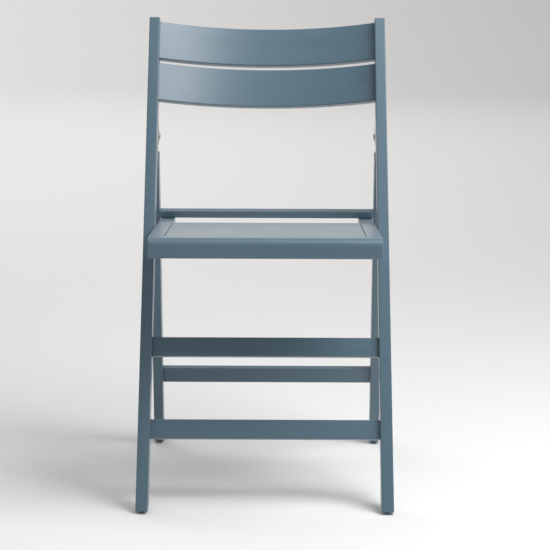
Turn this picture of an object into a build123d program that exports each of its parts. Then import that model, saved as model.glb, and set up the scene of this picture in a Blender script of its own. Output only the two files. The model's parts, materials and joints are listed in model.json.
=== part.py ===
"""Folding side chair in painted beech, standing open.

Millimetres, +Z up. The chair faces -Y, +X is to the right of someone who looks at its front, and the
origin is on the floor under the middle of the chair. Three frames are joined by two pairs of pivots:

- the front frame: two leaning stiles that are front leg and back post in one, two rails and two
  bowed back slats
- the rear frame: two legs that hang from pivots behind the stiles, a hook bar and a rail
- the seat: a framed panel on pivots between the stiles, whose side rails run back in hooked tails.
  The hook bar lies on the tails, so weight on the seat presses them up against it

Each frame is modelled square in a frame of its own, with x across, y its depth and z its height, and
is then leaned into place. Only right-hand pieces are drawn, and left_of() makes the other hand.
"""

import os
from math import asin, cos, degrees, radians, sin, tan

from build123d import *

# Overall sizes
foot_width = 420.0  # over the outsides of the front feet
seat_height = 455.4  # top of the seat behind its front rounding, above the foot ends
front_lean = 21.0  # degrees, stiles lean back
rear_lean = 16.6  # degrees, rear legs lean forward
outer_taper = 0.67  # degrees, outsides of the stiles lean inwards
inner_taper = 0.49  # degrees, their insides and the rear legs lean less
seat_slope = 3.5  # degrees, seat falls to the rear

# Stiles and rear legs
stile_width = 20.0  # at the foot
stile_depth = 35.0
stile_edge_radius = 1.5
stile_end_radius = 4.0
rear_leg_width = 17.0
rear_leg_depth = 35.0
leg_gap = 0.6  # stile back to folded leg
leg_above_pivot = 22.0
leg_end_radius = 10.0
pivot_spacing = 178.8  # seat pivot to leg pivot, along the stile

# Rails of both frames
front_rail_height = 32.0
front_rail_thickness = 14.0
front_rail_recess = 10.0  # behind the stile's front face
upper_rail_centre = 272.0  # along the stile from the foot
lower_rail_centre = 135.6
rear_rail_height = 29.0
rear_rail_thickness = 12.0
rear_rail_recess = 11.0  # behind the rear leg's front face
rear_rail_drop = 467.2  # leg pivot to the rail's centre, along the leg
rail_edge_radius = 1.5

# Back slats
slat_height = 65.0
slat_thickness = 15.0
slat_bow = 41.0  # middle behind the ends
slat_recess = 12.0
slat_gap = 8.0
slat_edge_chamfer = 1.5
stile_above_slats = 5.3
fold_clearance = 4.2  # folded seat's front to the lower slat

# Seat
seat_front_reach = 227.6  # seat pivot to the front face
seat_rail_height = 32.0
seat_side_gap = 0.5  # folded seat's front corner to the stile
side_rail_width = 24.0
seat_front_depth = 38.0
seat_nose_radius = 12.0
seat_edge_radius = 2.0
side_rail_edge_radius = 1.0
panel_thickness = 12.0
panel_reach = 40.0  # seat pivot to the panel's rear edge
panel_groove = 1.5  # shadow line beside the panel
panel_tongue = 6.0
tongue_thickness = 5.0
back_rail_depth = 25.0

# Hook bar and the hooked tails that it lies on
bar_height = 13.0
bar_thickness = 13.0
hook_gap = 0.4
lip_height = 7.0
lip_thickness = 9.0
tail_end_radius = 3.0

# Joints in the wood
tenon_length = 12.0
tenon_shoulder = 3.0  # left on each side of a tenon
slat_tenon_shoulder = 6.0  # above and below a slat's tenon
tenon_overlap = 5.0
dowel_radius = 4.0
dowel_length = 40.0
dowel_spacing = 13.0
glue_gap = 0.1
blind_gap = 1.0  # past the end of a tenon, dowel, nail or screw

# Leg pivot hardware
plate_thickness = 2.0
plate_eye_radius = 14.0
plate_pad_radius = 10.0
plate_screw_spread = 18.0  # screws above and below the pivot
screw_radius = 2.0
screw_head_radius = 4.0
screw_length = 14.0
lap_length = 36.0  # thinned top of the rear leg, below its pivot
washer_thickness = 0.5
washer_radius = 10.0
side_play = 0.15  # each side of a washer or rivet head
pivot_radius = 4.0
running_gap = 0.05
rivet_head_radius = 7.0
rivet_head_height = 2.6
rivet_tail_height = 1.6

# Seat pivot hardware
bolt_head_radius = 7.5
bolt_head_height = 4.0
bolt_head_chamfer = 0.8
hex_socket_radius = 2.5
insert_radius = 6.0
insert_length = 16.0

# Floor glides
glide_height = 5.0
glide_rim_height = 2.0
glide_radius = 7.5
glide_foot_radius = 5.0
nail_radius = 1.2
nail_length = 18.0
nail_recess = 1.5  # nail's end above the floor

lean = radians(front_lean)
kick = radians(rear_lean)
slope = radians(seat_slope)
leg_front = -rear_leg_depth / 2
seat_top = seat_rail_height / 2
seat_bottom = -seat_top

# Seat pivot: in the middle of the stile's depth and of the seat rail's height
seat_pivot_depth = stile_depth / 2
flat_reach = seat_front_reach - seat_nose_radius
seat_pivot_z = seat_height - flat_reach * sin(slope) - seat_top * cos(slope)
seat_pivot_up = (seat_pivot_z + seat_pivot_depth * sin(lean)) / cos(lean)
seat_pivot_y = seat_pivot_up * sin(lean) + seat_pivot_depth * cos(lean)

# Leg pivot: behind the stile, so that the folded leg lies along it
leg_pivot_up = seat_pivot_up + pivot_spacing
leg_pivot_depth = stile_depth + leg_gap + rear_leg_depth / 2
leg_pivot_y = leg_pivot_up * sin(lean) + leg_pivot_depth * cos(lean)
leg_pivot_z = leg_pivot_up * cos(lean) - leg_pivot_depth * sin(lean)
leg_length = leg_pivot_z / cos(kick)

# The folded seat sets where the slats start, and the slats set the stile's length
lower_slat_low = seat_pivot_up + seat_front_reach + fold_clearance
upper_slat_low = lower_slat_low + slat_height + slat_gap
stile_length = upper_slat_low + slat_height + stile_above_slats

front_frame = Rot(-front_lean, 0, 0)
rear_frame = Pos(0, leg_pivot_y, leg_pivot_z) * Rot(rear_lean, 0, 0)
seat_frame = Pos(0, seat_pivot_y, seat_pivot_z) * Rot(-seat_slope, 0, 0)


def outer_half(up):
    """Half the width over the stiles, at a distance up the stile."""
    return foot_width / 2 - up * tan(radians(outer_taper))


def inner_half(up):
    """Half the width between the stiles, and between the rear legs that fold behind them."""
    return foot_width / 2 - stile_width - up * tan(radians(inner_taper))


def block(x0, x1, y0, y1, z0, z1):
    """A box given by its faces."""
    middle = Pos((x0 + x1) / 2, (y0 + y1) / 2, (z0 + z1) / 2)
    return middle * Box(abs(x1 - x0), abs(y1 - y0), abs(z1 - z0))


def rod(x0, x1, y, z, radius):
    """A cylinder along x between two planes."""
    return Pos((x0 + x1) / 2, y, z) * Rot(0, 90, 0) * Cylinder(radius, abs(x1 - x0))


def front_view(points, y0, y1):
    """A solid with the given outline from the front, between two depths."""
    outline = make_face(Polyline(*points, close=True))
    return extrude(Plane.XZ.offset(-y1) * outline, amount=y1 - y0)


def left_of(piece):
    return mirror(piece, about=Plane.YZ)


def group(*pieces):
    """Right-hand pieces and their mirror images, as separate solids of one node."""
    return Compound([s for piece in pieces for s in piece.solids() + left_of(piece).solids()])


def on_inner_face(solid):
    """Moves a solid from x = 0 at the foot onto the stile's leaning inner face."""
    return Pos(inner_half(0), 0, 0) * Rot(0, -inner_taper, 0) * solid


def cut_at_floor(leg):
    """Cuts a leaned leg level at the foot."""
    reach = 2 * foot_width
    return leg - block(-reach, reach, -reach, reach, -reach, 0)


class Tenon:
    """The tongue at each end of a cross piece, and the mortise that takes it."""

    def __init__(self, y, z, thickness, height, base=0.0):
        self.y, self.z = y, z
        self.thickness, self.height = thickness, height
        self.shoulder = inner_half(base + z)

    def cut(self, past, gap):
        half_y, half_z = self.thickness / 2 + gap, self.height / 2 + gap
        tongue = block(
            self.shoulder - tenon_overlap,
            self.shoulder + tenon_length + past,
            self.y - half_y,
            self.y + half_y,
            self.z - half_z,
            self.z + half_z,
        )
        return tongue + left_of(tongue)

    def tongues(self):
        return self.cut(0, 0)

    def mortises(self):
        return self.cut(blind_gap, glue_gap)


def between_sides(low, high, y0, y1, base=0.0):
    """The space between the sides. base is this frame's z = 0, measured up the stile."""
    bottom, top = inner_half(base + low), inner_half(base + high)
    return front_view([(-bottom, low), (bottom, low), (top, high), (-top, high)], y0, y1)


def straight_rail(centre, height, thickness, front, base=0.0):
    """A rail between the sides, and its tenon."""
    rail = between_sides(centre - height / 2, centre + height / 2, front, front + thickness, base)
    rail = fillet(rail.edges().filter_by(Axis.X), rail_edge_radius)
    tongue_size = (thickness - 2 * tenon_shoulder, height - 2 * tenon_shoulder)
    tenon = Tenon(front + thickness / 2, centre, *tongue_size, base)
    return rail + tenon.tongues(), tenon


def bowed_slat(low):
    """A back slat bent to an arc, and its tenon."""
    middle, high = low + slat_height / 2, low + slat_height
    half = inner_half(middle)
    radius = (half**2 + slat_bow**2) / (2 * slat_bow)
    centre = (0, slat_recess + slat_bow - radius)
    half_angle = degrees(asin(half / radius)) + 2  # a little past the stiles' faces
    front = CenterArc(centre, radius, 90 - half_angle, 2 * half_angle)
    back = CenterArc(centre, radius + slat_thickness, 90 - half_angle, 2 * half_angle)
    outline = make_face([front, back, Line(front @ 0, back @ 0), Line(front @ 1, back @ 1)])
    board = extrude(Pos(0, 0, low) * outline, amount=slat_height)
    board = chamfer(board.edges().filter_by(GeomType.CIRCLE), slat_edge_chamfer)
    depth = slat_recess + slat_bow + 2 * slat_thickness
    slat = board & between_sides(low - blind_gap, high + blind_gap, -slat_thickness, depth)
    end_thickness = slat_thickness / cos(asin(half / radius))
    tongue_size = (slat_thickness - 2 * tenon_shoulder, slat_height - 2 * slat_tenon_shoulder)
    tenon = Tenon(slat_recess + end_thickness / 2, middle, *tongue_size)
    return slat + tenon.tongues(), tenon


# ---- Front frame ----

rail_size = (front_rail_height, front_rail_thickness, front_rail_recess)
upper_front_rail, upper_rail_tenon = straight_rail(upper_rail_centre, *rail_size)
lower_front_rail, lower_rail_tenon = straight_rail(lower_rail_centre, *rail_size)
upper_back_slat, upper_slat_tenon = bowed_slat(upper_slat_low)
lower_back_slat, lower_slat_tenon = bowed_slat(lower_slat_low)

below_foot = -stile_depth * tan(lean)
stile_outline = [
    (inner_half(below_foot), below_foot),
    (outer_half(below_foot), below_foot),
    (outer_half(stile_length), stile_length),
    (inner_half(stile_length), stile_length),
]
stile = front_view(stile_outline, 0, stile_depth)
stile = fillet(stile.edges().filter_by(Axis.X).group_by(Axis.Z)[-1], stile_end_radius)
stile = fillet(stile.edges().sort_by(SortBy.LENGTH)[-4:], stile_edge_radius)
for tenon in (upper_rail_tenon, lower_rail_tenon, upper_slat_tenon, lower_slat_tenon):
    stile -= tenon.mortises()

# Pivot plate, let into the stile's inner face and reaching back to the leg pivot
screws_up = (leg_pivot_up - plate_screw_spread, leg_pivot_up + plate_screw_spread)


def plate(gap=0.0):
    """The plate, or the shallow seat for it: an eye at the pivot joined to two screw pads."""
    discs = [Pos(seat_pivot_depth, up) * Circle(plate_pad_radius + gap) for up in screws_up]
    discs.append(Pos(leg_pivot_depth, leg_pivot_up) * Circle(plate_eye_radius + gap))
    outline = make_hull([edge for disc in discs for edge in disc.edges()])
    return on_inner_face(extrude(Plane.YZ * outline, amount=plate_thickness))


pivot_plate = plate()
stile -= plate(glue_gap)


def plate_screw(up, gap=0.0, past=0.0):
    """A countersunk wood screw through the plate, or the hole for it."""
    shank, head = screw_radius + gap, screw_head_radius + gap
    cone, tip = screw_head_radius - screw_radius, screw_length + past
    section = Polyline((0, 0), (head, 0), (shank, cone), (shank, tip), (0, tip), close=True)
    screw = revolve(Plane.XZ * make_face(section), Axis.Z)
    return on_inner_face(Pos(0, seat_pivot_depth, up) * Rot(0, 90, 0) * screw)


plate_screws = [plate_screw(up) for up in screws_up]
for screw_hole in [plate_screw(up, glue_gap, blind_gap) for up in screws_up]:
    stile -= screw_hole
    pivot_plate -= screw_hole

# Leg pivot: a rivet, domed inside the plate and again over the outside of the leg
at_leg_pivot = (leg_pivot_depth, leg_pivot_up)
pivot_hole = rod(0, foot_width, *at_leg_pivot, pivot_radius + running_gap)
pivot_plate -= pivot_hole
plate_inside = inner_half(leg_pivot_up)
leg_outside = plate_inside + rear_leg_width


def dome(x0, x1, radius):
    """A rivet head between two planes, rounded at its far end x1."""
    head = rod(x0, x1, *at_leg_pivot, radius)
    rims = head.edges().filter_by(GeomType.CIRCLE).sort_by(Axis.X)
    return fillet(rims[-1] if x1 > x0 else rims[0], abs(x1 - x0) * 0.9)


head_inside = plate_inside - side_play
tail_outside = leg_outside + 2 * side_play
leg_rivet = rod(head_inside, tail_outside, *at_leg_pivot, pivot_radius)
leg_rivet += dome(head_inside, head_inside - rivet_head_height, rivet_head_radius)
leg_rivet += dome(tail_outside, tail_outside + rivet_tail_height, rivet_head_radius)

washer_inside = plate_inside + plate_thickness + side_play
leg_washer = rod(washer_inside, washer_inside + washer_thickness, *at_leg_pivot, washer_radius)
leg_washer -= pivot_hole
lap_face = washer_inside + washer_thickness + side_play

# Seat pivot: the bolt's head is let into the stile's outer face, square to the bolt
bolt_face = outer_half(seat_pivot_up + bolt_head_radius) - glue_gap
bolt_seat = bolt_face - bolt_head_height - glue_gap
at_seat_pivot = (seat_pivot_depth, seat_pivot_up)
stile -= rod(0, foot_width, *at_seat_pivot, pivot_radius + running_gap)
stile -= rod(bolt_seat, foot_width, *at_seat_pivot, bolt_head_radius + glue_gap)

stile = cut_at_floor(front_frame * stile)

# ---- Rear frame, its z = 0 at the leg pivot ----

rear_rail, rear_rail_tenon = straight_rail(
    -rear_rail_drop,
    rear_rail_height,
    rear_rail_thickness,
    leg_front + rear_rail_recess,
    leg_pivot_up,
)


def bar_drop():
    """Down the leg's front face, from the pivot to where the hook bar's middle is."""
    top_y, top_z = seat_pivot_y + seat_top * sin(slope), seat_pivot_z + seat_top * cos(slope)
    face_y, face_z = leg_pivot_y + leg_front * cos(kick), leg_pivot_z + leg_front * sin(kick)
    above_seat = face_z - top_z + (face_y - top_y) * tan(slope)
    return above_seat / (cos(kick) - sin(kick) * tan(slope)) - hook_gap - bar_height / 2


hook_bar, hook_bar_tenon = straight_rail(
    -bar_drop(), bar_height, bar_thickness, leg_front, leg_pivot_up
)

# The leg's top is rounded about the pivot and cut flat where it bears on the open stile's back
open_angle = lean + kick
round_middle = Vector(-cos(open_angle / 2), sin(open_angle / 2)) * -leg_front
round_end = Vector(-cos(open_angle), sin(open_angle)) * -leg_front
stile_line = Vector(sin(open_angle), cos(open_angle))
flat_end = round_end + stile_line * ((leg_above_pivot - round_end.Y) / stile_line.Y)
below_leg = -leg_length - rear_leg_depth * tan(kick)
leg_outline = [
    Line((leg_front, below_leg), (leg_front, 0)),
    ThreePointArc((leg_front, 0), round_middle, round_end),
    Line(round_end, flat_end),
    Polyline(
        flat_end,
        (-leg_front, leg_above_pivot),
        (-leg_front, below_leg),
        (leg_front, below_leg),
    ),
]
rear_leg = extrude(Plane.YZ * make_face(leg_outline), amount=rear_leg_width)
top_back = rear_leg.edges().filter_by(Axis.X).group_by(Axis.Z)[-1].sort_by(Axis.Y)[-1]
rear_leg = fillet(top_back, leg_end_radius)
rear_leg = fillet(rear_leg.edges().filter_by(Axis.Z), stile_edge_radius)
rear_leg = Pos(inner_half(leg_pivot_up), 0, 0) * Rot(0, -inner_taper, 0) * rear_leg
for tenon in (rear_rail_tenon, hook_bar_tenon):
    rear_leg -= tenon.mortises()
rear_leg -= block(0, lap_face, -rear_leg_depth, rear_leg_depth, -lap_length, rear_leg_depth)
rear_leg -= rod(0, foot_width, 0, 0, pivot_radius + running_gap)
rear_leg = cut_at_floor(rear_frame * rear_leg)

# ---- Seat, its z = 0 at the seat pivot ----

seat_half = inner_half(seat_pivot_up + seat_front_reach) - seat_side_gap
rail_inside = seat_half - side_rail_width
front_rail_back = -seat_front_reach + seat_front_depth
panel_underside = seat_top - panel_thickness

seat_front_rail = block(
    -seat_half, seat_half, -seat_front_reach, front_rail_back, seat_bottom, seat_top
)
front_edges = seat_front_rail.edges().filter_by(Axis.X).group_by(Axis.Y)[0].sort_by(Axis.Z)
seat_front_rail = fillet(front_edges[-1], seat_nose_radius)
corners = seat_front_rail.edges().filter_by(Axis.Z).group_by(Axis.Y)[0]
under = seat_front_rail.edges().filter_by(Axis.X).group_by(Axis.Z)[0].sort_by(Axis.Y)[0]
seat_front_rail = fillet([*corners, under], seat_edge_radius)

# The tail's notch is square to the hook bar, hook_gap off its underside and back, with a lip behind
bar_tilt = open_angle - lean + slope
up_bar = Vector(-sin(bar_tilt), cos(bar_tilt))
along_bar = Vector(cos(bar_tilt), sin(bar_tilt))
bar_corner = seat_frame.inverse() * rear_frame * Pos(0, leg_front, -bar_drop() - bar_height / 2)
bar_corner = Vector(bar_corner.position.Y, bar_corner.position.Z) - up_bar * hook_gap
notch_front = bar_corner - along_bar * ((bar_corner.Y - seat_top) / along_bar.Y)
notch_back = bar_corner + along_bar * (bar_thickness + hook_gap)
lip_front = notch_back + up_bar * lip_height
lip_back = lip_front + along_bar * lip_thickness
side_outline = Polyline(
    (front_rail_back, seat_bottom),
    (front_rail_back, seat_top),
    notch_front,
    notch_back,
    lip_front,
    lip_back,
    (lip_back.X, seat_bottom),
    close=True,
)
side_rail = extrude(Plane.YZ * make_face(side_outline), amount=side_rail_width)
tail_edges = side_rail.edges().filter_by(Axis.X).group_by(Axis.Y)[-1]
side_rail = fillet(tail_edges, tail_end_radius)
side_rail = fillet(side_rail.edges().filter_by(Axis.Y), side_rail_edge_radius)
side_rail = Pos(rail_inside, 0, 0) * side_rail

# Panel, flush with the rails, on a tongue that runs in grooves in them
panel_half = rail_inside - panel_groove
tongue_top = seat_top - (panel_thickness - tongue_thickness) / 2
tongue_bottom = tongue_top - tongue_thickness


def tongue(gap):
    """The panel's tongue, or the groove for it."""
    half = rail_inside + panel_tongue + gap
    front, back = front_rail_back - panel_tongue - gap, panel_reach + gap
    return block(-half, half, front, back, tongue_bottom - gap, tongue_top + gap)


seat_panel = tongue(0) + block(
    -panel_half, panel_half, front_rail_back + glue_gap, panel_reach, panel_underside, seat_top
)
seat_front_rail -= tongue(glue_gap)
side_rail -= tongue(glue_gap)

back_rail_front = panel_reach - back_rail_depth
seat_back_rail = block(
    -rail_inside, rail_inside, back_rail_front, panel_reach, seat_bottom, panel_underside
)
under = seat_back_rail.edges().filter_by(Axis.X).group_by(Axis.Z)[0]
seat_back_rail = fillet(under, seat_edge_radius)


def seat_dowels(gap=0.0, past=0.0):
    """Two dowels through each front joint and one through each back joint, or their holes."""
    dowel = Cylinder(dowel_radius + gap, dowel_length + 2 * past)
    front_x = seat_half - side_rail_width / 2
    upper_z = tongue_bottom - 1.5 * dowel_radius
    pieces = [
        Pos(front_x, front_rail_back, z) * Rot(90, 0, 0) * dowel
        for z in (upper_z, upper_z - dowel_spacing)
    ]
    back_y, back_z = panel_reach - back_rail_depth / 2, (seat_bottom + panel_underside) / 2
    pieces.append(Pos(rail_inside, back_y, back_z) * Rot(0, 90, 0) * dowel)
    return pieces


for hole in seat_dowels(glue_gap, blind_gap):
    seat_front_rail -= hole + left_of(hole)
    seat_back_rail -= hole + left_of(hole)
    side_rail -= hole

# Bolt, threaded insert and spacer at the seat pivot
bolt_end = seat_half - insert_length
insert = rod(bolt_end, seat_half, 0, 0, insert_radius)
insert -= rod(0, foot_width, 0, 0, pivot_radius + glue_gap)
side_rail -= rod(bolt_end - blind_gap, foot_width, 0, 0, insert_radius + glue_gap)
bolt_head = rod(bolt_seat + glue_gap, bolt_face, 0, 0, bolt_head_radius)
outer_rim = bolt_head.edges().filter_by(GeomType.CIRCLE).sort_by(Axis.X)[-1]
bolt_head = chamfer(outer_rim, bolt_head_chamfer)
socket = extrude(Plane.YZ * RegularPolygon(hex_socket_radius, 6), amount=-bolt_head_height / 2)
seat_bolt = rod(bolt_end, bolt_face - bolt_head_height / 2, 0, 0, pivot_radius)
seat_bolt += bolt_head - Pos(bolt_face, 0, 0) * socket
spacer_outside = inner_half(seat_pivot_up + washer_radius) - side_play
seat_spacer = rod(seat_half, spacer_outside, 0, 0, washer_radius)
seat_spacer -= rod(0, foot_width, 0, 0, pivot_radius + glue_gap)

# ---- Glides, nailed under the middle of each foot ----

glide_section = Polyline(
    (nail_radius + glue_gap, 0),
    (glide_radius, 0),
    (glide_radius, -glide_rim_height),
    (glide_foot_radius, -glide_height),
    (nail_radius + glue_gap, -glide_height),
    close=True,
)
glide = revolve(Plane.XZ * make_face(glide_section), Axis.Z)


def nail(radius, length):
    """A glide's nail, or the hole for it."""
    upwards = (Align.CENTER, Align.CENTER, Align.MIN)
    return Pos(0, 0, nail_recess - glide_height) * Cylinder(radius, length, align=upwards)


rear_foot_y = leg_pivot_y + leg_pivot_z * tan(kick)
rear_foot_x = inner_half(leg_pivot_up - leg_length) + rear_leg_width / 2
front_foot = Pos(foot_width / 2 - stile_width / 2, stile_depth / 2 / cos(lean), 0)
rear_foot = Pos(rear_foot_x, rear_foot_y, 0)
nail_hole = nail(nail_radius + glue_gap, nail_length + blind_gap)
stile -= front_foot * nail_hole
rear_leg -= rear_foot * nail_hole
glide_nail = nail(nail_radius, nail_length)

# ---- The chair ----

hands = {
    "stile": stile,
    "pivot_plate": front_frame * pivot_plate,
    "front_glide": front_foot * glide,
    "rear_leg": rear_leg,
    "rear_glide": rear_foot * glide,
    "side_rail": seat_frame * side_rail,
    "seat_bolt": seat_frame * seat_bolt,
}
nodes = {
    "upper_back_slat": front_frame * upper_back_slat,
    "lower_back_slat": front_frame * lower_back_slat,
    "upper_front_rail": front_frame * upper_front_rail,
    "lower_front_rail": front_frame * lower_front_rail,
    "pivot_plate_screws": group(*[front_frame * screw for screw in plate_screws]),
    "leg_pivot_rivets": group(front_frame * leg_rivet),
    "leg_pivot_washers": group(front_frame * leg_washer),
    "front_glide_nails": group(front_foot * glide_nail),
    "hook_bar": rear_frame * hook_bar,
    "rear_rail": rear_frame * rear_rail,
    "rear_glide_nails": group(rear_foot * glide_nail),
    "seat_front_rail": seat_frame * seat_front_rail,
    "seat_back_rail": seat_frame * seat_back_rail,
    "seat_panel": seat_frame * seat_panel,
    "seat_dowels": group(*[seat_frame * dowel for dowel in seat_dowels()]),
    "seat_bolt_inserts": group(seat_frame * insert),
    "seat_pivot_washers": group(seat_frame * seat_spacer),
}
for name, piece in hands.items():
    nodes[f"right_{name}"] = piece
    nodes[f"left_{name}"] = left_of(piece)

# The origin is on the floor, under the middle of the chair's box
box = Compound(list(nodes.values())).bounding_box()
to_origin = Pos(0, -(box.min.Y + box.max.Y) / 2, glide_height)
os.makedirs("parts", exist_ok=True)
for name, piece in nodes.items():
    export_step(to_origin * piece, f"parts/{name}.step")

print("nodes", len(nodes), "size", [round(side, 2) for side in box.size])
for name, frame in (("seat pivot", seat_frame), ("leg pivot", rear_frame)):
    print(name, [round(value, 3) for value in (to_origin * frame).position])
print("front foot", [round(value, 3) for value in (to_origin * front_foot).position])
print("seat folds", 90 + front_lean - seat_slope, "rear frame folds", front_lean + rear_lean)
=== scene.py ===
# %% [markdown]
# # A painted folding chair
#
# The chair's CAD model is a fixed frame: every board, plate and rivet already has its place, and
# each rides on one of three bodies, the front frame, the rear frame and the seat. This lesson
# gives that frame its looks. It makes the satin paint, the bent back slats and the small
# metalwork, and sets the chair in a plain studio. All lengths are in metres, as Blender counts
# them.

import json
import math

import bpy
from mathutils import Matrix, Vector


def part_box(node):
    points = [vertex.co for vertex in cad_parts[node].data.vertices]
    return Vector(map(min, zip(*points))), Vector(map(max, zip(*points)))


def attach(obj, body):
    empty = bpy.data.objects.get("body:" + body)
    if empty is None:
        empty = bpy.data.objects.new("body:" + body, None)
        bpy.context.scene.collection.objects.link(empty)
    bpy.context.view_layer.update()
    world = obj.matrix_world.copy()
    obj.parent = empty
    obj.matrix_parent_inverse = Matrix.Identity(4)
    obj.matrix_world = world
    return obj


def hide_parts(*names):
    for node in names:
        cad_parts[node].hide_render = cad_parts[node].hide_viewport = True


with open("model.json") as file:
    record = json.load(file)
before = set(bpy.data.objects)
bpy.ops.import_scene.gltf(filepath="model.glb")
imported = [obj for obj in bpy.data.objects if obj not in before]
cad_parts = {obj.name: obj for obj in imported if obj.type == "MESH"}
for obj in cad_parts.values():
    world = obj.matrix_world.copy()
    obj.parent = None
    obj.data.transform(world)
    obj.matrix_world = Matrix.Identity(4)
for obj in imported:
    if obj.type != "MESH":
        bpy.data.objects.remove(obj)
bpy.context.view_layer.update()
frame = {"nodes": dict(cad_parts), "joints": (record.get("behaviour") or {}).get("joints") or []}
scene = bpy.context.scene

# %% [markdown]
# ## Where things are
#
# Four angles say how the boards lie: the stiles lean back, the rear legs lean forward, the seat
# slopes down to its back, and the stiles come together a little towards the top. They are the CAD
# model's own angles, and they turn the grain and place the slats. The two pivots come from the
# frame's joints.

# %% Measure the frame
FRONT_LEAN = math.radians(21.0)
LEG_LEAN = math.radians(16.6)
SEAT_SLOPE = math.radians(3.5)
STILE_TAPER = math.radians(0.49)
joints = {joint["name"]: Vector(joint["pos_m"]) for joint in frame["joints"]}
seat_pivot, leg_pivot = joints["seat_fold"], joints["rear_fold"]
print("seat pivot", [round(v, 4) for v in seat_pivot])
print("leg pivot", [round(v, 4) for v in leg_pivot])

# %% [markdown]
# ## Small helpers for node trees
#
# Paint and Geometry Nodes are both trees of nodes. Four helpers keep the cells short: one makes a
# node and fills its sockets, one joins numbers with a Math node, one makes a colour from the way
# it is usually written, in sRGB from 0 to 255, and one starts a node group with named sockets.

# %% Node helpers
def put(tree, kind, inputs=None, **settings):
    """A new node with its settings, and each input set to a value or linked from a socket."""
    node = tree.nodes.new(kind)
    for name, value in settings.items():
        setattr(node, name, value)
    for name, value in (inputs or {}).items():
        if isinstance(value, bpy.types.NodeSocket):
            tree.links.new(value, node.inputs[name])
        else:
            node.inputs[name].default_value = value
    return node


def calc(tree, operation, first, second=0.0, third=0.0, clamp=False):
    """The result of one Math node."""
    node = put(tree, "ShaderNodeMath", {0: first, 1: second, 2: third}, operation=operation)
    node.use_clamp = clamp
    return node.outputs[0]


def colour(red, green, blue):
    """An sRGB colour as Blender's linear one."""
    channels = [c / 255 for c in (red, green, blue)]
    return (*[c / 12.92 if c <= 0.04045 else ((c + 0.055) / 1.055) ** 2.4 for c in channels], 1.0)


def group_tree(name, kind, sockets_in, sockets_out):
    """An empty node group with named sockets, and its input and output nodes."""
    tree = bpy.data.node_groups.new(name, kind)
    for direction, sockets in (("INPUT", sockets_in), ("OUTPUT", sockets_out)):
        for socket_name, socket_kind in sockets:
            tree.interface.new_socket(socket_name, in_out=direction, socket_type=socket_kind)
    return tree, put(tree, "NodeGroupInput").outputs, put(tree, "NodeGroupOutput")


print("helpers ready")

# %% [markdown]
# ## The paint
#
# The boards are beech under a sprayed satin paint, a greyed blue. Close up such paint isn't flat.
# The wood's grain still shows as faint long streaks and short pores, because the paint sinks into
# them, and the spray leaves a fine orange peel. Sharp corners are eased with sandpaper before the
# paint goes on, and with use they rub lighter and smoother.
#
# The grain is noise, stretched along the board. A node group takes board coordinates, with x
# along the board, and gives back colour, roughness and normal. The Bevel node rounds the normal
# near an edge, which catches light as an eased corner does, and comparing it with the flat normal
# tells where the edges are, for the wear.

# %% The paint's node group
PAINT = colour(87, 112, 127)
PAINT_WORN = colour(120, 143, 157)
PAINT_DEEP = colour(80, 105, 120)
PORE = colour(60, 82, 96)
EASED_CORNER = 0.0012
PAINT_RELIEF = 0.00015


def noise(tree, vector, scales, detail=3.0, roughness=0.5):
    """Noise stretched by a different scale along each axis."""
    stretched = put(tree, "ShaderNodeMapping", {"Vector": vector, "Scale": scales}).outputs[0]
    node = put(
        tree,
        "ShaderNodeTexNoise",
        {"Vector": stretched, "Scale": 1.0, "Detail": detail, "Roughness": roughness},
    )
    return node.outputs["Fac"]


def spread(tree, value, low, high, to_low=0.0, to_high=1.0):
    """Maps a range of a value to another, and clamps it."""
    node = put(
        tree,
        "ShaderNodeMapRange",
        {"Value": value, "From Min": low, "From Max": high, "To Min": to_low, "To Max": to_high},
        clamp=True,
    )
    return node.outputs[0]


def mix_colours(tree, amount, first, second):
    """The first colour where amount is 0 and the second where it is 1."""
    node = put(tree, "ShaderNodeMix", {0: amount, 6: first, 7: second}, data_type="RGBA")
    return node.outputs[2]


paint_group, given, result = group_tree(
    "satin paint over beech",
    "ShaderNodeTree",
    [("Board", "NodeSocketVector")],
    [
        ("Color", "NodeSocketColor"),
        ("Roughness", "NodeSocketFloat"),
        ("Normal", "NodeSocketVector"),
    ],
)
board = given["Board"]
streaks = noise(paint_group, board, (3.0, 420.0, 420.0), detail=4.0, roughness=0.6)
figure = noise(paint_group, board, (1.6, 38.0, 38.0), detail=2.0)
pores = spread(
    paint_group, noise(paint_group, board, (90.0, 1500.0, 1500.0), detail=1.0), 0.64, 0.74
)
peel = noise(paint_group, board, (700.0, 700.0, 700.0), detail=1.0)
handling = noise(paint_group, board, (9.0, 9.0, 9.0), detail=3.0, roughness=0.6)

flat_normal = put(paint_group, "ShaderNodeNewGeometry").outputs["Normal"]
round_normal = put(paint_group, "ShaderNodeBevel", {"Radius": EASED_CORNER}, samples=6).outputs[0]
facing = put(
    paint_group, "ShaderNodeVectorMath", {0: flat_normal, 1: round_normal}, operation="DOT_PRODUCT"
).outputs["Value"]
near_edge = spread(paint_group, facing, 0.985, 0.86)
rubbed = calc(
    paint_group, "MULTIPLY", near_edge, spread(paint_group, handling, 0.36, 0.66), clamp=True
)

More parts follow.
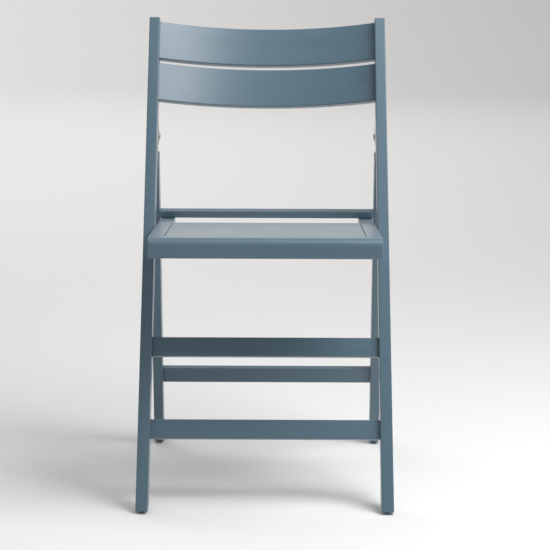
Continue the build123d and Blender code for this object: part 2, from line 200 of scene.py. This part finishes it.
half_figure = calc(paint_group, "MULTIPLY", figure, 0.5)
grain_shade = calc(paint_group, "MULTIPLY_ADD", streaks, 0.5, half_figure)
base = mix_colours(paint_group, spread(paint_group, grain_shade, 0.34, 0.66), PAINT_DEEP, PAINT)
base = mix_colours(paint_group, calc(paint_group, "MULTIPLY", pores, 0.35), base, PORE)
base = mix_colours(paint_group, calc(paint_group, "MULTIPLY", rubbed, 0.55), base, PAINT_WORN)
sheen_spots = spread(paint_group, handling, 0.3, 0.7, 0.31, 0.38)
roughness = calc(
    paint_group,
    "SUBTRACT",
    calc(paint_group, "MULTIPLY_ADD", pores, 0.2, sheen_spots),
    calc(paint_group, "MULTIPLY", rubbed, 0.08),
    clamp=True,
)
relief = calc(paint_group, "MULTIPLY_ADD", streaks, 0.9, calc(paint_group, "MULTIPLY", peel, 0.22))
relief = calc(paint_group, "SUBTRACT", relief, pores)
bumped = put(
    paint_group,
    "ShaderNodeBump",
    {"Strength": 0.2, "Distance": PAINT_RELIEF, "Height": relief, "Normal": round_normal},
).outputs[0]
for socket, value in (("Color", base), ("Roughness", roughness), ("Normal", bumped)):
    paint_group.links.new(value, result.inputs[socket])
print("paint group", len(paint_group.nodes), "nodes")

# %% [markdown]
# ## One paint for each way the grain runs
#
# Grain runs along a board. Rails, slats and the seat's front lie across the chair, while the
# stiles, the rear legs and the seat's sides each run at an angle of their own. So each direction
# gets a material with the same group, and a Mapping node turns the board's length onto x.

# %% Painted boards
def painted(name, turn):
    """Paint whose grain runs along a board. turn is the rotation that lays the board along x."""
    material = bpy.data.materials.new(name)
    material.use_nodes = True
    tree = material.node_tree
    tree.nodes.clear()
    place = put(tree, "ShaderNodeTexCoord").outputs["Object"]
    board_place = put(tree, "ShaderNodeMapping", {"Vector": place, "Rotation": turn}).outputs[0]
    coat = put(tree, "ShaderNodeGroup", node_tree=paint_group)
    tree.links.new(board_place, coat.inputs["Board"])
    shader = put(
        tree,
        "ShaderNodeBsdfPrincipled",
        {
            "Base Color": coat.outputs["Color"],
            "Roughness": coat.outputs["Roughness"],
            "Normal": coat.outputs["Normal"],
            "IOR": 1.5,
            "Coat Weight": 0.3,
            "Coat Roughness": 0.35,
            "Sheen Weight": 0.2,
            "Sheen Roughness": 0.4,
        },
    )
    put(tree, "ShaderNodeOutputMaterial", {"Surface": shader.outputs[0]})
    return material


QUARTER = math.pi / 2
paint_across = painted("paint_grain_across", (0.0, 0.0, 0.0))
paint_stile = painted("paint_grain_up_stile", (FRONT_LEAN, QUARTER, 0.0))
paint_leg = painted("paint_grain_up_leg", (-LEG_LEAN, QUARTER, 0.0))
paint_side = painted("paint_grain_front_to_back", (SEAT_SLOPE, 0.0, QUARTER))
print("paints", [m.name for m in (paint_across, paint_stile, paint_leg, paint_side)])

# %% [markdown]
# ## Metal, nylon and bare wood
#
# The pivot hardware is zinc-plated steel, which is bright but cloudy, with fine scratches. The
# washers and the glides under the feet are nylon and matt, the glides darker, clouded as if a
# little dirty and finely scratched. Dowels and inserts sit inside the joints. Nobody sees them
# until a joint is taken apart, so their beech and brass only have to be honest.

# %% Hardware materials
METAL_CORNER = 0.0004
METAL_RELIEF = 0.0001


def plain_finish(
    name, light, dark, cloud_scale, rough, metallic=0.0, scratch=0.0, stretch=(1, 1, 1)
):
    """A finish clouded between two colours, with roughness to match and fine scratches."""
    material = bpy.data.materials.new(name)
    material.use_nodes = True
    tree = material.node_tree
    tree.nodes.clear()
    place = put(tree, "ShaderNodeTexCoord").outputs["Object"]
    clouds = noise(tree, place, [cloud_scale * s for s in stretch], detail=4.0, roughness=0.6)
    scratches = noise(tree, place, (160.0, 2600.0, 900.0), detail=2.0)
    tone = spread(tree, clouds, 0.32, 0.68)
    height = calc(tree, "MULTIPLY_ADD", scratches, scratch, calc(tree, "MULTIPLY", clouds, 0.2))
    rounded = put(tree, "ShaderNodeBevel", {"Radius": METAL_CORNER}, samples=4).outputs[0]
    bump = put(
        tree,
        "ShaderNodeBump",
        {"Strength": 0.25, "Distance": METAL_RELIEF, "Height": height, "Normal": rounded},
    )
    shader = put(
        tree,
        "ShaderNodeBsdfPrincipled",
        {
            "Base Color": mix_colours(tree, tone, dark, light),
            "Roughness": spread(tree, clouds, 0.3, 0.7, rough[0], rough[1]),
            "Normal": bump.outputs[0],
            "Metallic": metallic,
        },
    )
    put(tree, "ShaderNodeOutputMaterial", {"Surface": shader.outputs[0]})
    return material


zinc = plain_finish(
    "zinc_plated_steel", colour(192, 194, 196), colour(174, 177, 180), 110.0, (0.3, 0.4), 1.0, 0.35
)
brass = plain_finish(
    "brass", colour(205, 172, 104), colour(160, 128, 70), 200.0, (0.3, 0.45), 1.0, 0.4
)
nylon = plain_finish(
    "nylon_washer", colour(214, 214, 208), colour(196, 196, 190), 120.0, (0.45, 0.55)
)
glide_nylon = plain_finish(
    "nylon_glide", colour(112, 115, 116), colour(84, 88, 90), 150.0, (0.5, 0.62), 0.0, 0.3
)
bare_beech = plain_finish(
    "bare_beech",
    colour(205, 170, 132),
    colour(180, 142, 104),
    300.0,
    (0.55, 0.7),
    scratch=0.3,
    stretch=(1, 0.1, 1),
)
print("hardware finishes", [m.name for m in (zinc, brass, nylon, glide_nylon, bare_beech)])

# %% Paint and plate the CAD pieces
finishes = {
    paint_across: [
        "upper_front_rail",
        "lower_front_rail",
        "hook_bar",
        "rear_rail",
        "seat_front_rail",
        "seat_back_rail",
        "seat_panel",
        "upper_back_slat",
        "lower_back_slat",
    ],
    paint_stile: ["right_stile", "left_stile"],
    paint_leg: ["right_rear_leg", "left_rear_leg"],
    paint_side: ["right_side_rail", "left_side_rail"],
    zinc: [
        "right_pivot_plate",
        "left_pivot_plate",
        "pivot_plate_screws",
        "leg_pivot_rivets",
        "right_seat_bolt",
        "left_seat_bolt",
        "front_glide_nails",
        "rear_glide_nails",
    ],
    brass: ["seat_bolt_inserts"],
    nylon: ["leg_pivot_washers", "seat_pivot_washers"],
    glide_nylon: ["right_front_glide", "left_front_glide", "right_rear_glide", "left_rear_glide"],
    bare_beech: ["seat_dowels"],
}
for material, names in finishes.items():
    for name in names:
        mesh = frame["nodes"][name].data
        mesh.materials.clear()
        mesh.materials.append(material)
finished = sum(len(names) for names in finishes.values())
print("finished", finished, "of", len(frame["nodes"]), "pieces")

# %% [markdown]
# ## The back slats
#
# Each slat is a straight board that was steamed and bent, so its front is an arc of a circle and
# its back is a wider arc about the same centre. It could be cut from a solid ring, but bending a
# straight board is closer to how it is made, and it keeps the rows of faces in line with the
# grain. Geometry Nodes do it by rule: a rounded section is swept along a straight line, then
# every point moves back onto its own arc. The ends stay flat against the stiles, which lean in by
# half a degree, and each end carries a tenon for the stile's mortise. A few short helpers come
# first, for the trees that follow.

# %% Helpers for shapes
def point(tree, x=0.0, y=0.0, z=0.0):
    """A vector socket from three numbers or sockets."""
    return put(tree, "ShaderNodeCombineXYZ", {0: x, 1: y, 2: z}).outputs[0]


def own_place(tree):
    """Where each point of the shape is, as its x, y and z sockets."""
    position = put(tree, "GeometryNodeInputPosition").outputs[0]
    return put(tree, "ShaderNodeSeparateXYZ", {0: position}).outputs


def moved(tree, shape, place, turn=(0.0, 0.0, 0.0)):
    """A shape turned about the origin and then moved to a place."""
    return put(
        tree,
        "GeometryNodeTransform",
        {"Geometry": shape, "Translation": place, "Rotation": turn},
    ).outputs[0]


def join(tree, shapes):
    """Several shapes as one."""
    joined = put(tree, "GeometryNodeJoinGeometry")
    for shape in shapes:
        tree.links.new(shape, joined.inputs[0])
    return joined.outputs[0]


print("shape helpers ready")

# %% The slat tree
SLAT_STEPS = 65
CORNER_POINTS = 5
slat_tree, given, result = group_tree(
    "bent slat",
    "GeometryNodeTree",
    [
        ("Half Width", "NodeSocketFloat"),
        ("Height", "NodeSocketFloat"),
        ("Thickness", "NodeSocketFloat"),
        ("Bow", "NodeSocketFloat"),
        ("Edge Radius", "NodeSocketFloat"),
        ("Side Taper", "NodeSocketFloat"),
        ("Tenon Size", "NodeSocketVector"),
        ("Foot", "NodeSocketVector"),
        ("Lean", "NodeSocketVector"),
        ("Middle", "NodeSocketVector"),
        ("Paint", "NodeSocketMaterial"),
    ],
    [("Geometry", "NodeSocketGeometry")],
)
half = given["Half Width"]
left_end = calc(slat_tree, "MULTIPLY", half, -1.0)
line = put(
    slat_tree,
    "GeometryNodeCurvePrimitiveLine",
    {"Start": point(slat_tree, left_end), "End": point(slat_tree, half)},
).outputs[0]
steps = put(
    slat_tree, "GeometryNodeResampleCurve", {"Curve": line, "Count": SLAT_STEPS}
).outputs[0]
section = put(
    slat_tree,
    "GeometryNodeCurvePrimitiveQuadrilateral",
    {"Width": given["Thickness"], "Height": given["Height"]},
).outputs[0]
section = put(
    slat_tree,
    "GeometryNodeFilletCurve",
    {"Curve": section, "Count": CORNER_POINTS, "Radius": given["Edge Radius"]},
    mode="POLY",
).outputs[0]
board_mesh = put(
    slat_tree,
    "GeometryNodeCurveToMesh",
    {"Curve": steps, "Profile Curve": section, "Fill Caps": True},
).outputs[0]
print("slat section sweeps along", SLAT_STEPS, "steps")

# %% Bend the board and fit it between the stiles
along, deep, up = own_place(slat_tree)
narrowing = calc(slat_tree, "MULTIPLY", up, calc(slat_tree, "TANGENT", given["Side Taper"]))
fitted = calc(slat_tree, "SUBTRACT", half, narrowing)
across = calc(slat_tree, "MULTIPLY", along, calc(slat_tree, "DIVIDE", fitted, half))
bow = given["Bow"]
squares = calc(slat_tree, "MULTIPLY_ADD", half, half, calc(slat_tree, "MULTIPLY", bow, bow))
radius = calc(slat_tree, "DIVIDE", squares, calc(slat_tree, "MULTIPLY", bow, 2.0))
from_front = calc(slat_tree, "MULTIPLY_ADD", given["Thickness"], 0.5, deep)
reach = calc(slat_tree, "ADD", radius, from_front)
reach_squared = calc(slat_tree, "MULTIPLY", reach, reach)
across_squared = calc(slat_tree, "MULTIPLY", across, across)
arc = calc(slat_tree, "SQRT", calc(slat_tree, "SUBTRACT", reach_squared, across_squared))
sunk = calc(slat_tree, "ADD", calc(slat_tree, "SUBTRACT", bow, radius), arc)
bent = put(
    slat_tree,
    "GeometryNodeSetPosition",
    {"Geometry": board_mesh, "Position": point(slat_tree, across, sunk, up)},
).outputs[0]
print("bend nodes", len(slat_tree.nodes))

# %% Add the tenons and lean the slat back
TENON_PAST_END = 0.2
TENON_DEPTH = 0.55
tenon = put(slat_tree, "GeometryNodeMeshCube", {"Size": given["Tenon Size"]}).outputs[0]
tenon_x = put(slat_tree, "ShaderNodeSeparateXYZ", {0: given["Tenon Size"]}).outputs[0]
tenon_middle = calc(slat_tree, "MULTIPLY_ADD", tenon_x, TENON_PAST_END, half)
tenon_deep = calc(slat_tree, "MULTIPLY", given["Thickness"], TENON_DEPTH)
tenons = []
for side in (1.0, -1.0):
    tenon_across = calc(slat_tree, "MULTIPLY", tenon_middle, side)
    tenons.append(moved(slat_tree, tenon, point(slat_tree, tenon_across, tenon_deep)))
raised = moved(slat_tree, join(slat_tree, (bent, *tenons)), given["Middle"])
turn = put(slat_tree, "FunctionNodeEulerToRotation", {0: given["Lean"]}).outputs[0]
leaned = moved(slat_tree, raised, given["Foot"], turn)
real = put(slat_tree, "GeometryNodeRealizeInstances", {0: leaned}).outputs[0]
coated = put(slat_tree, "GeometryNodeSetMaterial", {"Geometry": real, "Material": given["Paint"]})
slat_tree.links.new(coated.outputs[0], result.inputs[0])
print("slat tree", len(slat_tree.nodes), "nodes")

# %% [markdown]
# ## Running a tree
#
# A tree does nothing until a modifier runs it. The next helper sets the modifier's inputs by
# their identifiers, takes the result as a plain mesh, and leaves no modifier behind. Broad flat
# faces next to small round ones need weighted normals, or the roundness bleeds into the flats.

# %% Run a tree and keep its mesh
def settled(maker):
    """What an object's modifiers make of it, as a mesh of its own."""
    return bpy.data.meshes.new_from_object(
        maker.evaluated_get(bpy.context.evaluated_depsgraph_get())
    )


def grow(name, tree, sizes, points=(), crease=math.radians(40)):
    """A plain mesh object that a tree makes from the given sizes, at points or alone."""
    start = bpy.data.meshes.new(name + "_maker")
    start.from_pydata(points, [], [])
    maker = bpy.data.objects.new(name + "_maker", start)
    scene.collection.objects.link(maker)
    nodes = maker.modifiers.new("shape", "NODES")
    nodes.node_group = tree
    for item in tree.interface.items_tree:
        if item.in_out == "INPUT" and item.name in sizes:
            nodes[item.identifier] = sizes[item.name]
    maker.update_tag()
    shape = settled(maker)
    bpy.data.objects.remove(maker)
    piece = bpy.data.objects.new(name, shape)
    scene.collection.objects.link(piece)
    shape.shade_smooth()
    shape.set_sharp_from_angle(angle=crease)
    weight = piece.modifiers.new("even", "WEIGHTED_NORMAL")
    weight.keep_sharp = True
    evened = settled(piece)
    piece.modifiers.clear()
    piece.data = evened
    return piece


def size_of(piece):
    """A piece's width, depth and height in millimetres."""
    low = [min(v.co[i] for v in piece.data.vertices) for i in range(3)]
    high = [max(v.co[i] for v in piece.data.vertices) for i in range(3)]
    return [round((b - a) * 1000, 1) for a, b in zip(low, high)]


print("grow() runs a tree")

# %% Bend both slats
STILE_FOOT = Vector((0.0, -0.212661, 0.005))
STILE_INSIDE = 0.190
SLAT_HEIGHT, SLAT_THICKNESS = 0.065, 0.015
SLAT_BOW, SLAT_RECESS, SLAT_EDGE = 0.041, 0.012, 0.0016
TENON_SIZE = (0.017, 0.009, 0.053)
to_stile = Matrix.Rotation(FRONT_LEAN, 4, "X") @ Matrix.Translation(-STILE_FOOT)


def corners(node):
    """A CAD piece's points, measured up and across the stile."""
    return [to_stile @ v.co for v in frame["nodes"][node].data.vertices]


for name in ("upper_back_slat", "lower_back_slat"):
    ups = [p.z for p in corners(name)]
    middle = (min(ups) + max(ups)) / 2
    slat = grow(
        "bent_" + name,
        slat_tree,
        {
            "Half Width": STILE_INSIDE - middle * math.tan(STILE_TAPER),
            "Height": SLAT_HEIGHT,
            "Thickness": SLAT_THICKNESS,
            "Bow": SLAT_BOW,
            "Edge Radius": SLAT_EDGE,
            "Side Taper": STILE_TAPER,
            "Tenon Size": TENON_SIZE,
            "Foot": STILE_FOOT,
            "Lean": (-FRONT_LEAN, 0.0, 0.0),
            "Middle": (0.0, SLAT_RECESS, middle),
            "Paint": paint_across,
        },
    )
    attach(slat, "front_frame")
    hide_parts(name)
    low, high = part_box(name)
    print(slat.name, size_of(slat), "mm, CAD", [round(v * 1000, 1) for v in high - low])

# %% [markdown]
# ## Screws and rivets
#
# Each pivot plate is held by two countersunk screws with a cross recess, and each rear leg turns
# on a rivet, domed on both ends. There are four screws and two rivets, all alike, so each shape
# is made once and a tree sets copies of it at points. A domed head is a rod whose radius follows
# a quarter circle. Curve to Mesh does that with its Scale input, as a lathe would.

# %% A rod with a radius that changes along it
ROD_SIDES, RIVET_SIDES = 20, 32


def turned(tree, length, radius_at, steps, sides=ROD_SIDES):
    """A closed turned shape along x. radius_at gives the radius from the distance along it."""
    axis = put(tree, "GeometryNodeCurvePrimitiveLine", {"End": point(tree, length)}).outputs[0]
    stations = put(tree, "GeometryNodeResampleCurve", {"Curve": axis, "Count": steps}).outputs[0]
    distance = put(tree, "GeometryNodeSplineParameter").outputs["Length"]
    rim = put(
        tree, "GeometryNodeCurvePrimitiveCircle", {"Resolution": sides, "Radius": 1.0}
    ).outputs[0]
    return put(
        tree,
        "GeometryNodeCurveToMesh",
        {
            "Curve": stations,
            "Profile Curve": rim,
            "Scale": radius_at(distance),
            "Fill Caps": True,
        },
    ).outputs[0]


def set_at_points(tree, given, result, shape):
    """Ends a tree: a copy of shape at each point of the mesh, turned round on the left side."""
    on_left = calc(tree, "LESS_THAN", own_place(tree)[0], 0.0)
    half_turn = calc(tree, "MULTIPLY", on_left, math.pi)
    spin = put(tree, "FunctionNodeEulerToRotation", {0: point(tree, z=half_turn)}).outputs[0]
    copies = put(
        tree,
        "GeometryNodeInstanceOnPoints",
        {"Points": given["Points"], "Instance": shape, "Rotation": spin},
    ).outputs[0]
    real_copies = put(tree, "GeometryNodeRealizeInstances", {0: copies}).outputs[0]
    plated = put(
        tree, "GeometryNodeSetMaterial", {"Geometry": real_copies, "Material": given["Metal"]}
    )
    tree.links.new(plated.outputs[0], result.inputs[0])


print("turned shapes ready")

# %% The screw tree
SCREW_STATIONS = 29
POINT_RADIUS = 0.0002
screw_tree, given, result = group_tree(
    "countersunk screw",
    "GeometryNodeTree",
    [
        ("Points", "NodeSocketGeometry"),
        ("Head Radius", "NodeSocketFloat"),
        ("Shank Radius", "NodeSocketFloat"),
        ("Length", "NodeSocketFloat"),
        ("Recess", "NodeSocketVector"),
        ("Metal", "NodeSocketMaterial"),
    ],
    [("Geometry", "NodeSocketGeometry")],
)


def screw_radius_at(distance):
    """A cone under the head, then the shank, then the point."""
    cone = calc(screw_tree, "SUBTRACT", given["Head Radius"], distance)
    body = calc(screw_tree, "MAXIMUM", cone, given["Shank Radius"])
    tip = calc(screw_tree, "ADD", given["Length"], POINT_RADIUS)
    to_point = calc(screw_tree, "SUBTRACT", tip, distance)
    return calc(screw_tree, "MINIMUM", body, to_point)


blank = turned(screw_tree, given["Length"], screw_radius_at, SCREW_STATIONS)
slot_box = put(screw_tree, "GeometryNodeMeshCube", {"Size": given["Recess"]}).outputs[0]
cutter = put(screw_tree, "GeometryNodeMeshBoolean", operation="DIFFERENCE")
screw_tree.links.new(blank, cutter.inputs[0])
for angle in (0.0, QUARTER):
    arm = moved(screw_tree, slot_box, (0.0, 0.0, 0.0), (angle, 0.0, 0.0))
    screw_tree.links.new(arm, cutter.inputs[1])
set_at_points(screw_tree, given, result, cutter.outputs[0])
print("screw tree", len(screw_tree.nodes), "nodes")

# %% The rivet tree
DOME_STATIONS = 12
DOME_FULLNESS = 0.995
rivet_tree, given, result = group_tree(
    "domed rivet",
    "GeometryNodeTree",
    [
        ("Points", "NodeSocketGeometry"),
        ("Head Radius", "NodeSocketFloat"),
        ("Head Height", "NodeSocketFloat"),
        ("Tail Height", "NodeSocketFloat"),
        ("Shank Radius", "NodeSocketFloat"),
        ("Grip", "NodeSocketFloat"),
        ("Metal", "NodeSocketMaterial"),
    ],
    [("Geometry", "NodeSocketGeometry")],
)


def dome_of(height):
    """A dome with its top at x = 0 and its flat underside at x = height."""

    def radius_at(distance):
        left_over = calc(rivet_tree, "SUBTRACT", 1.0, calc(rivet_tree, "DIVIDE", distance, height))
        squared = calc(rivet_tree, "MULTIPLY", left_over, left_over)
        round_off = calc(rivet_tree, "MULTIPLY", squared, DOME_FULLNESS)
        full = calc(rivet_tree, "SQRT", calc(rivet_tree, "SUBTRACT", 1.0, round_off))
        return calc(rivet_tree, "MULTIPLY", full, given["Head Radius"])

    return turned(rivet_tree, height, radius_at, DOME_STATIONS, RIVET_SIDES)


grip = given["Grip"]
head_top = calc(rivet_tree, "MULTIPLY", given["Head Height"], -1.0)
tail_top = calc(rivet_tree, "ADD", grip, given["Tail Height"])
head = moved(rivet_tree, dome_of(given["Head Height"]), point(rivet_tree, head_top))
tail = moved(
    rivet_tree,
    dome_of(given["Tail Height"]),
    point(rivet_tree, tail_top),
    (0.0, 0.0, math.pi),
)
shank = turned(rivet_tree, grip, lambda distance: given["Shank Radius"], 2)
set_at_points(rivet_tree, given, result, join(rivet_tree, (head, shank, tail)))
print("rivet tree", len(rivet_tree.nodes), "nodes")

# %% Set the screws and rivets in place
SCREW_HEAD_RADIUS, SCREW_SHANK_RADIUS, SCREW_LENGTH = 0.004, 0.002, 0.0139
CROSS_RECESS = (0.0032, 0.0009, 0.0044)
SCREW_SPREAD, SCREW_DEPTH = 0.018, 0.0175
RIVET_RADIUS, HEAD_HEIGHT, TAIL_HEIGHT, PIVOT_RADIUS = 0.007, 0.0026, 0.0016, 0.004
pivot_up = (to_stile @ leg_pivot).z
screw_spots = []
for up in (pivot_up - SCREW_SPREAD, pivot_up + SCREW_SPREAD):
    inside = STILE_INSIDE - up * math.tan(STILE_TAPER)
    spot = to_stile.inverted() @ Vector((inside, SCREW_DEPTH, up))
    screw_spots += [spot, Vector((-spot.x, spot.y, spot.z))]
screws = grow(
    "cross_head_screws",
    screw_tree,
    {
        "Head Radius": SCREW_HEAD_RADIUS,
        "Shank Radius": SCREW_SHANK_RADIUS,
        "Length": SCREW_LENGTH,
        "Recess": CROSS_RECESS,
        "Metal": zinc,
    },
    screw_spots,
)
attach(screws, "front_frame")
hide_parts("pivot_plate_screws")

rivet_points = [v.co.x for v in frame["nodes"]["leg_pivot_rivets"].data.vertices if v.co.x > 0]
inner_base, outer_base = min(rivet_points) + HEAD_HEIGHT, max(rivet_points) - TAIL_HEIGHT
rivets = grow(
    "domed_leg_rivets",
    rivet_tree,
    {
        "Head Radius": RIVET_RADIUS,
        "Head Height": HEAD_HEIGHT,
        "Tail Height": TAIL_HEIGHT,
        "Shank Radius": PIVOT_RADIUS,
        "Grip": outer_base - inner_base,
        "Metal": zinc,
    },
    [Vector((side * inner_base, leg_pivot.y, leg_pivot.z)) for side in (1.0, -1.0)],
)
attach(rivets, "front_frame")
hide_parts("leg_pivot_rivets")
for piece in (screws, rivets):
    print(piece.name, size_of(piece), "mm,", len(piece.data.polygons), "faces")

# %% [markdown]
# ## The studio
#
# A pale sheet runs from under the chair to the wall in one sweep, so that no corner shows behind
# the chair. Its bend is very wide and the wall stands far back, which leaves room to look at the
# chair from behind. The sheet is made as a strip of faces between two copies of its profile.

# %% Floor and backdrop
FLOOR_START, FLOOR_END = -8.0, 2.0
BEND_RADIUS, BEND_STEP = 6.0, 2
WALL_TOP = 8.0
SHEET_HALF_WIDTH = 9.0
SHEET_GREY = 0.89


def sweep_profile():
    """Depth and height of the sheet: floor, quarter circle, wall."""
    angles = [math.radians(degrees) for degrees in range(0, 91, BEND_STEP)]
    bend_points = [
        (FLOOR_END + BEND_RADIUS * math.sin(a), BEND_RADIUS * (1 - math.cos(a))) for a in angles
    ]
    wall_end = (FLOOR_END + BEND_RADIUS, WALL_TOP)
    return [(FLOOR_START, 0.0), (0.0, 0.0), *bend_points, wall_end]


profile = sweep_profile()
sheet_mesh = bpy.data.meshes.new("studio_sheet")
points = [(x, y, z) for y, z in profile for x in (-SHEET_HALF_WIDTH, SHEET_HALF_WIDTH)]
faces = [(2 * i, 2 * i + 1, 2 * i + 3, 2 * i + 2) for i in range(len(profile) - 1)]
sheet_mesh.from_pydata(points, [], faces)
sheet_mesh.shade_smooth()
studio_sheet = bpy.data.objects.new("studio_sheet", sheet_mesh)
scene.collection.objects.link(studio_sheet)
sheet_white = bpy.data.materials.new("sheet_white")
sheet_white.use_nodes = True
sheet_shader = sheet_white.node_tree.nodes["Principled BSDF"]
sheet_shader.inputs["Base Color"].default_value = (SHEET_GREY, SHEET_GREY, SHEET_GREY, 1.0)
sheet_shader.inputs["Roughness"].default_value = 0.8
sheet_shader.inputs["Specular IOR Level"].default_value = 0.2
sheet_mesh.materials.append(sheet_white)
print("sheet", len(faces), "faces")

# %% [markdown]
# ## Light
#
# Four square lamps light the chair, all hidden from the camera. The key stands to the right, in
# front and above, and gives the chair its lit and its shaded side. A larger, weaker one almost
# overhead lights the seat and the bar's top. A low one behind keeps the back from going dull, and
# the last one lights the backdrop. The warm grey air fills the shadows.

# %% Lamps
def lamp(name, azimuth, elevation, distance, size, power, target=(0.0, 0.0, 0.4)):
    """A square soft lamp. azimuth is to the right of the chair's front, both angles in degrees."""
    a, e = math.radians(azimuth), math.radians(elevation)
    away = Vector((math.sin(a) * math.cos(e), -math.cos(a) * math.cos(e), math.sin(e)))
    light = bpy.data.lights.new(name, "AREA")
    light.shape = "SQUARE"
    light.size = size
    light.energy = power
    holder = bpy.data.objects.new(name, light)
    holder.location = Vector(target) + away * distance
    holder.rotation_mode = "QUATERNION"
    holder.rotation_quaternion = away.to_track_quat("Z", "Y")
    holder.visible_camera = False
    scene.collection.objects.link(holder)


BACKDROP_SPOT = (-0.5, 5.0, 0.6)
lamp("key", azimuth=55, elevation=50, distance=2.1, size=1.3, power=43)
lamp("overhead", azimuth=10, elevation=76, distance=2.6, size=2.4, power=14)
lamp("low_back", azimuth=178, elevation=24, distance=3.6, size=2.6, power=9)
lamp("wall_wash", -40, 50, distance=3.8, size=3.0, power=66, target=BACKDROP_SPOT)
world = bpy.data.worlds.new("studio_air")
world.use_nodes = True
air = world.node_tree.nodes["Background"]
air.inputs["Color"].default_value = (1.0, 0.975, 0.95, 1.0)
air.inputs["Strength"].default_value = 0.31
scene.world = world
scene.view_settings.view_transform = "Standard"
scene.view_settings.look = "None"

# %% [markdown]
# ## Camera
#
# The camera stands a little over three metres off with a long lens, so the chair's sides run
# almost parallel. It is a little higher than the chair's back and looks down by about ten
# degrees. It is also turned and rolled by a fraction of a degree, as a camera held by hand is.

# %% Camera
SENSOR_WIDTH, LENS = 36.0, 125.9
CAMERA_PLACE = (0.0209, -3.2117, 0.941)
LOOK_DOWN, LOOK_ASIDE, ROLL = (math.radians(angle) for angle in (10.306, 0.106, 0.208))
FAR_CLIP = 60.0
camera_data = bpy.data.cameras.new("studio_camera")
camera_data.sensor_width = SENSOR_WIDTH
camera_data.lens = LENS
camera = bpy.data.objects.new("studio_camera", camera_data)
camera.location = CAMERA_PLACE
aside = Matrix.Rotation(LOOK_ASIDE, 3, "Z")
down = Matrix.Rotation(QUARTER - LOOK_DOWN, 3, "X")
rolled = Matrix.Rotation(ROLL, 3, "Z")
camera.rotation_euler = (aside @ down @ rolled).to_euler()
camera_data.clip_end = FAR_CLIP
scene.collection.objects.link(camera)
scene.camera = camera
print("camera", tuple(round(v, 3) for v in camera.location))
